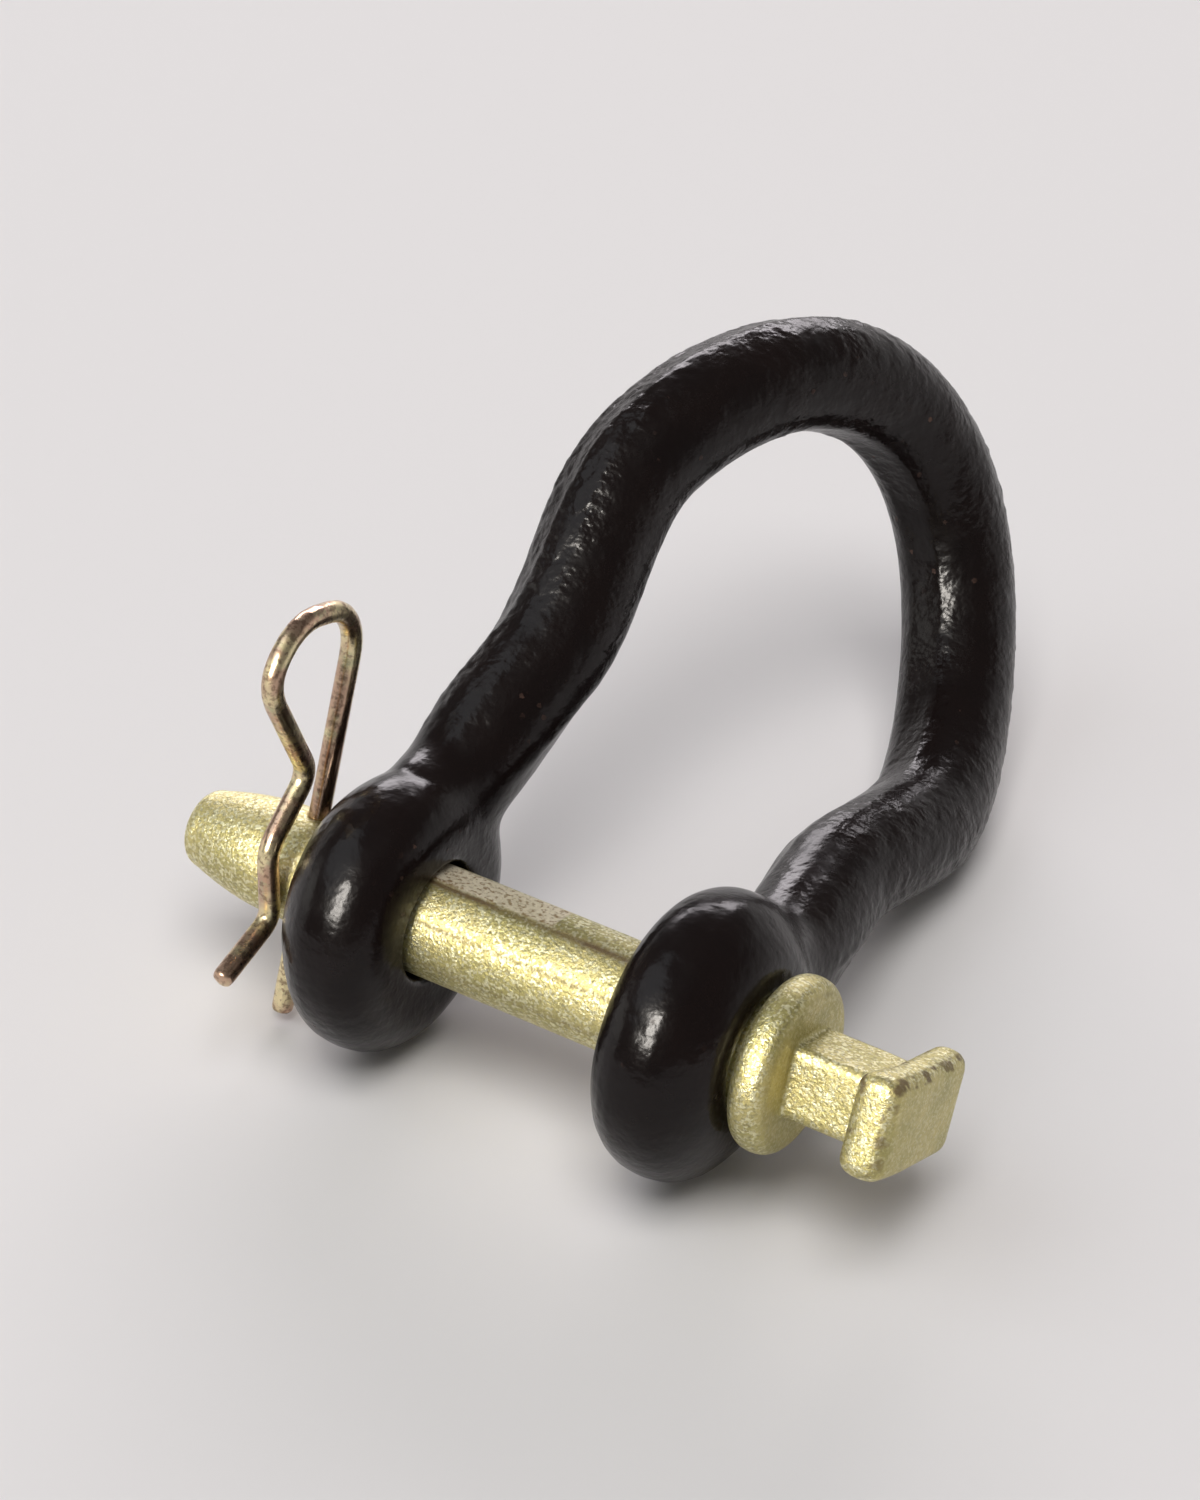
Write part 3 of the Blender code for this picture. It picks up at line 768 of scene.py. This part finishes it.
def shape_head(place, start):
    """Lean the forged head a little and make its near end thicker; start is where its inner side begins."""
    inside = ease((place.x - start + HEAD_ROOT) / HEAD_ROOT)
    if inside == 0.0:
        return place
    out = out_of_pin(place)
    near = ease((-out.dot(HEAD_ALONG) - SWELL_FROM) / (HEAD_LENGTH / 2 - SWELL_FROM))
    depth = min(max((place.x - start) / HEAD_THICKNESS, 0.0), 1.0)
    out.rotate(Matrix.Rotation(-HEAD_LEAN * inside, 3, "X"))
    back = near * inside * HEAD_SWELL * (1.0 - END_FACE_HOLDS * depth)
    return Vector((place.x - back, PIN_AXIS.y + out.y, PIN_AXIS.z + out.z))


def edge_dirt(place, normal, start):
    """Brown specks along the upper edges of the head, and a line behind the flange's rim."""
    grains = noise.noise(place * DIRT_SCALE) + 0.5 * noise.noise(place * FINE_DIRT_SCALE)
    specks = ease((grains - SPECKS_FROM) / SPECKS_FADE)
    upper = ease((normal.z - UPPER_FROM) / UPPER_FADE)
    if place.x > start - MM:
        flatness = max(abs(normal.x), abs(normal.dot(HEAD_ALONG)), abs(normal.dot(HEAD_ACROSS)))
        return EDGE_DARK * ease((EDGE_FLATNESS - flatness) / EDGE_FADE) * upper * specks
    rim = math.exp(-(((pin_distance(place) - RIM_RADIUS) / RIM_WIDTH) ** 2))
    rim *= ease((normal.x - RIM_FACING) / RIM_FACING_FADE)
    return RIM_DARK * rim * upper * (RIM_EVEN + (1.0 - RIM_EVEN) * specks)


def shaft_marks(place, out):
    """How far the skin of the shaft rises at a place, and how dark its grooves are there."""
    turn = math.degrees(math.atan2(out.y, out.z))
    rise = 0.0
    dirt = 0.0
    for middle, width, depth, dark in GROOVES:
        near = math.exp(-(((turn - middle) / width) ** 2))
        breaks = noise.noise(Vector((place.x * GROOVE_BREAKS, middle, 0.0)))
        broken = GROOVE_SHARE + GROOVE_RAGGED * breaks
        rise -= depth * MM * near * max(broken, 0.0)
        dirt = max(dirt, dark * near * min(max(broken + GROOVE_FILLS, 0.0), 1.0))
    for middle, width, depth in FACETS:
        rise -= depth * MM * max(1.0 - ((turn - middle) / width) ** 2, 0.0)
    return rise, dirt


def on_flat(place, out):
    """1 on the worn flat along the shaft, 0 off it."""
    above = out.dot(FLAT_OUT)
    ragged = FLAT_RAG * noise.noise(place * FLAT_RAG_SCALE)
    flat = ease((above - (PIN_RADIUS - FLAT_DEPTH) + FLAT_EDGE_BELOW) / FLAT_EDGE)
    flat *= ease((FLAT_END - place.x + ragged) / FLAT_END_FADE)
    flat *= ease((place.x - FLAT_START) / FLAT_START_FADE)
    return flat * ease((PIN_RADIUS + FLAT_CLEARANCE - out.length) / FLAT_SKIN)


def pin_marks(pin):
    """Roll the shaft slightly out of round, groove it lengthwise, and store its flat and its dirt."""
    vertices = pin.data.vertices
    places = [vertex.co.copy() for vertex in vertices]
    normals = [vertex.normal.copy() for vertex in vertices]
    head_start = max(place.x for place in places) - HEAD_THICKNESS
    moved, flats, dirts, painted_reflections = [], [], [], []
    for place, normal in zip(places, normals):
        out = out_of_pin(place)
        shaft = ease((place.x - SHAFT_START) / SHAFT_FADE) * ease((SHAFT_END - place.x) / SHAFT_FADE)
        shaft *= ease((PIN_RADIUS + SHAFT_CLEARANCE - out.length) / SHAFT_SKIN)
        rise, dirt = shaft_marks(place, out)
        flat = on_flat(place, out)
        worn = noise.noise(place * FLAT_WEAR_SCALE) * FLAT_WEAR * flat
        marked = place + normal * (rise * shaft * (1.0 - flat) + worn)
        moved.extend(shape_head(marked, head_start))
        flats.append(flat)
        # Faces turned to +X are marked for a plainer colour, a painted even reflection of the floor
        painted_reflections.append(ease((normal.x - PAINTED_REFLECTION_FROM) / PAINTED_REFLECTION_FADE))
        dirts.append(max(dirt * shaft * (1.0 - flat), edge_dirt(place, normal, head_start)))
    vertices.foreach_set("co", moved)
    store_mask(pin, "flat", flats)
    store_mask(pin, "dirt", dirts)
    # The mask named smooth holds the painted even reflection of the floor on faces turned to +X
    store_mask(pin, "smooth", painted_reflections)
    pin.data.update()


# The hairpin stands in a plane: up along the pull's axis, and across from its straight leg to its wavy one
CLIP_UP = Vector(PULL_JOINT["axis"]).normalized()
CLIP_ACROSS = Vector((1.0, 0.0, 0.0)).cross(CLIP_UP)
CROWDED_FROM, CROWDED_TO = 47.5 * MM, 54.9 * MM
WAVY_LEG_FROM, STRAIGHT_LEG_TO = 20 * MM, 8 * MM
BRIDGE_CUTS, BRIDGE_SMOOTHNESS = 6, 0.8
TAIL_FROM, TAIL_FADE = 22 * MM, 4 * MM


def mend_bend(clip):
    """Where the loop's bend runs into the next one, take the crowded stretch out and bridge it."""
    make_active(clip)
    bpy.ops.object.mode_set(mode="EDIT")
    bpy.ops.mesh.select_mode(type="VERT")
    bpy.ops.mesh.select_all(action="DESELECT")
    bpy.ops.object.mode_set(mode="OBJECT")
    for vertex in clip.data.vertices:
        out = vertex.co - PIN_AXIS
        crowded = CROWDED_FROM < out.dot(CLIP_UP) < CROWDED_TO
        vertex.select = out.dot(CLIP_ACROSS) > WAVY_LEG_FROM and crowded
    bpy.ops.object.mode_set(mode="EDIT")
    bpy.ops.mesh.delete(type="VERT")
    bpy.ops.mesh.select_mode(type="EDGE")
    bpy.ops.mesh.select_non_manifold()
    bpy.ops.mesh.bridge_edge_loops(
        number_cuts=BRIDGE_CUTS, interpolation="PATH", smoothness=BRIDGE_SMOOTHNESS)
    bpy.ops.mesh.select_mode(type="VERT")
    bpy.ops.object.mode_set(mode="OBJECT")


def fill_wire(clip, fill):
    """Give the wire back what smoothing took from it."""
    modifier = clip.modifiers.new("Full wire", "DISPLACE")
    modifier.strength = fill
    modifier.mid_level = 0.0
    apply_modifier(clip, modifier)


def lengthen_tail(clip, length):
    """Draw the straight leg's end out along the cross hole."""
    for vertex in clip.data.vertices:
        out = vertex.co - PIN_AXIS
        below = -out.dot(CLIP_UP)
        if out.dot(CLIP_ACROSS) < STRAIGHT_LEG_TO:
            vertex.co -= CLIP_UP * (length * ease((below - TAIL_FROM) / TAIL_FADE))


# The stage

FLOOR_SIZE, FLOOR_DROP = 8.0, 0.2 * MM
LAMP_DISTANCE = 6.0

# Lamps stand round the clevis: name, azimuth from +Y towards +X, elevation, size, radiance, colour, whether
# they show in reflections, and whether they light what is dull
LAMPS = (
    ("front_softbox", -173.0, 36.0, (1.5, 2.6), 50.0, (1.0, 0.95, 0.88), True, False),
    ("overhead_softbox", 150.0, 72.0, (3.4, 3.4), 5.7, (1.0, 0.99, 0.98), False, True),
    ("window", -124.0, 52.0, (4.4, 3.8), 1.25, (0.88, 0.94, 1.0), True, True),
    ("left_softbox", -112.0, 10.0, (3.4, 2.0), 1.1, (1.0, 0.99, 0.94), True, True),
    ("back_softbox", -30.0, 20.0, (4.6, 1.8), 8.0, (1.0, 0.94, 0.98), True, True),
)


def add_lamp(name, azimuth, elevation, size, radiance, colour, mirrored, lighting):
    """A soft rectangular lamp that faces the clevis from a direction."""
    data = bpy.data.lights.new(name, "AREA")
    data.shape = "RECTANGLE"
    data.size, data.size_y = size
    data.energy = radiance * math.pi * size[0] * size[1]
    data.color = colour
    lamp = bpy.data.objects.new(name, data)
    bpy.context.scene.collection.objects.link(lamp)
    turn, rise = math.radians(azimuth), math.radians(elevation)
    out = Vector((math.sin(turn) * math.cos(rise), math.cos(turn) * math.cos(rise), math.sin(rise)))
    lamp.location = out * LAMP_DISTANCE
    lamp.rotation_euler = out.to_track_quat("Z", "Y").to_euler()
    lamp.visible_glossy = mirrored
    lamp.visible_diffuse = lighting


# The pale wall: how high it fades, and how far round behind the clevis it comes, as parts of a direction
WALL_FULL, WALL_GONE = 0.12, 0.45
WALL_SIDE, WALL_BEHIND = -0.1, 0.6


def studio_air(look):
    """A world that is dim above and pale low down behind the clevis, like a white sweep in a dark room."""
    world = bpy.data.worlds.new("studio_air")
    world.use_nodes = True
    air = world.node_tree
    direction = air.nodes.new("ShaderNodeTexCoord").outputs["Generated"]
    apart = air.nodes.new("ShaderNodeSeparateXYZ")
    air.links.new(direction, apart.inputs["Vector"])
    low = ramp(air, apart.outputs["Z"], WALL_FULL, WALL_GONE, 1.0, 0.0)
    behind = ramp(air, apart.outputs["Y"], WALL_SIDE, WALL_BEHIND, 0.0, 1.0)
    glow = maths(air, "MULTIPLY", low, behind)
    backdrop = air.nodes["Background"]
    backdrop.inputs["Color"].default_value = (*look.colour, 1.0)
    air.links.new(maths(air, "MULTIPLY_ADD", glow, look.sweep, look.sky), backdrop.inputs["Strength"])
    return world


# Operators

class CLEVIS_OT_groups(bpy.types.Operator):
    """Build the effects that the materials share"""
    bl_idname = "clevis.groups"
    bl_label = "Shared Effects"

    def execute(self, context):
        make_specks_group()
        make_hide_group()
        make_flake_group()
        return {"FINISHED"}


class CLEVIS_OT_bow(bpy.types.Operator):
    """Make the forged bow's surface and paint it"""
    bl_idname = "clevis.bow"
    bl_label = "Forged Bow"

    def execute(self, context):
        look = context.scene.clevis_bow
        bow = copy_of_node("clevis_bow", "forged_bow")
        remesh(bow, look.skin)
        relax(bow, BOW_RELAX)
        soften_root(bow)
        round_out_eyes(bow, look.boss)
        forge_marks(bow, look.hammer, look.flash)
        dress(bow, "bow", "clevis_bow", paint_material(look))
        return {"FINISHED"}


class CLEVIS_OT_pin(bpy.types.Operator):
    """Make the pin's surface and plate it"""
    bl_idname = "clevis.pin"
    bl_label = "Plated Pin"

    def execute(self, context):
        look = context.scene.clevis_pin
        pin = copy_of_node("clevis_pin", "plated_pin")
        remesh(pin, look.skin)
        relax(pin, PIN_RELAX)
        pin_marks(pin)
        dress(pin, "pin", "clevis_pin", zinc_material(look))
        return {"FINISHED"}


class CLEVIS_OT_clip(bpy.types.Operator):
    """Make the hairpin's wire smooth and plate it"""
    bl_idname = "clevis.clip"
    bl_label = "Hairpin"

    def execute(self, context):
        look = context.scene.clevis_clip
        clip = copy_of_node("hairpin_clip", "spring_hairpin")
        mend_bend(clip)
        remesh(clip, look.skin)
        relax(clip, CLIP_RELAX)
        fill_wire(clip, look.fill)
        lengthen_tail(clip, look.tail)
        dress(clip, "hairpin", "hairpin_clip", wire_material(look))
        return {"FINISHED"}


class CLEVIS_OT_stage(bpy.types.Operator):
    """Lay the floor, hang the lamps and set the camera"""
    bl_idname = "clevis.stage"
    bl_label = "Studio"

    def execute(self, context):
        look = context.scene.clevis_stage
        deselect()
        bpy.ops.mesh.primitive_plane_add(size=FLOOR_SIZE, location=(0.0, 0.0, -FLOOR_DROP))
        floor = context.object
        floor.name = "studio_floor"
        made, _, shader, _ = new_material("studio_floor")
        shader.inputs["Base Color"].default_value = (*look.colour, 1.0)
        shader.inputs["Roughness"].default_value = 1.0
        shader.inputs["Specular IOR Level"].default_value = 0.0
        floor.data.materials.append(made)

        context.scene.world = studio_air(look)
        for lamp in LAMPS:
            add_lamp(*lamp)

        data = bpy.data.cameras.new("camera")
        data.lens = CAMERA_LENS
        data.sensor_width = SENSOR_WIDTH
        data.clip_start, data.clip_end = CAMERA_NEAR, CAMERA_FAR
        camera = bpy.data.objects.new("camera", data)
        context.scene.collection.objects.link(camera)
        look_along = CAMERA_LOOK.normalized()
        right = (CAMERA_RIGHT - look_along * CAMERA_RIGHT.dot(look_along)).normalized()
        up = right.cross(look_along)
        turn = Matrix((right, up, -look_along)).transposed()
        camera.matrix_world = Matrix.Translation(CAMERA_PLACE) @ turn.to_4x4()
        context.scene.camera = camera
        context.scene.view_settings.view_transform = "Standard"
        return {"FINISHED"}


class CLEVIS_PT_panel(bpy.types.Panel):
    """Sidebar panel with every step"""
    bl_idname = "CLEVIS_PT_panel"
    bl_label = "Twisted Clevis"
    bl_space_type = "VIEW_3D"
    bl_region_type = "UI"
    bl_category = "Clevis"

    def draw(self, context):
        layout = self.layout
        for operator in OPERATORS:
            layout.operator(operator.bl_idname)
        for name, kind in SETTINGS:
            box = layout.box()
            for key in kind.__annotations__:
                box.prop(getattr(context.scene, name), key)


SETTINGS = (
    ("clevis_bow", BowFinish),
    ("clevis_pin", PinFinish),
    ("clevis_clip", ClipFinish),
    ("clevis_stage", StageLook),
)
OPERATORS = (CLEVIS_OT_groups, CLEVIS_OT_bow, CLEVIS_OT_pin, CLEVIS_OT_clip, CLEVIS_OT_stage)


def register():
    """Register the classes and the scene's settings."""
    for name, kind in SETTINGS:
        bpy.utils.register_class(kind)
        setattr(bpy.types.Scene, name, bpy.props.PointerProperty(type=kind))
    for kind in (*OPERATORS, CLEVIS_PT_panel):
        bpy.utils.register_class(kind)


def unregister():
    """Take them out again."""
    for kind in (CLEVIS_PT_panel, *reversed(OPERATORS)):
        bpy.utils.unregister_class(kind)
    for name, kind in reversed(SETTINGS):
        delattr(bpy.types.Scene, name)
        bpy.utils.unregister_class(kind)


def main():
    """Dress the clevis."""
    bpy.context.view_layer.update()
    register()
    bpy.ops.clevis.groups()
    bpy.ops.clevis.bow()
    bpy.ops.clevis.pin()
    bpy.ops.clevis.clip()
    bpy.ops.clevis.stage()


if __name__ == "__main__":
    main()
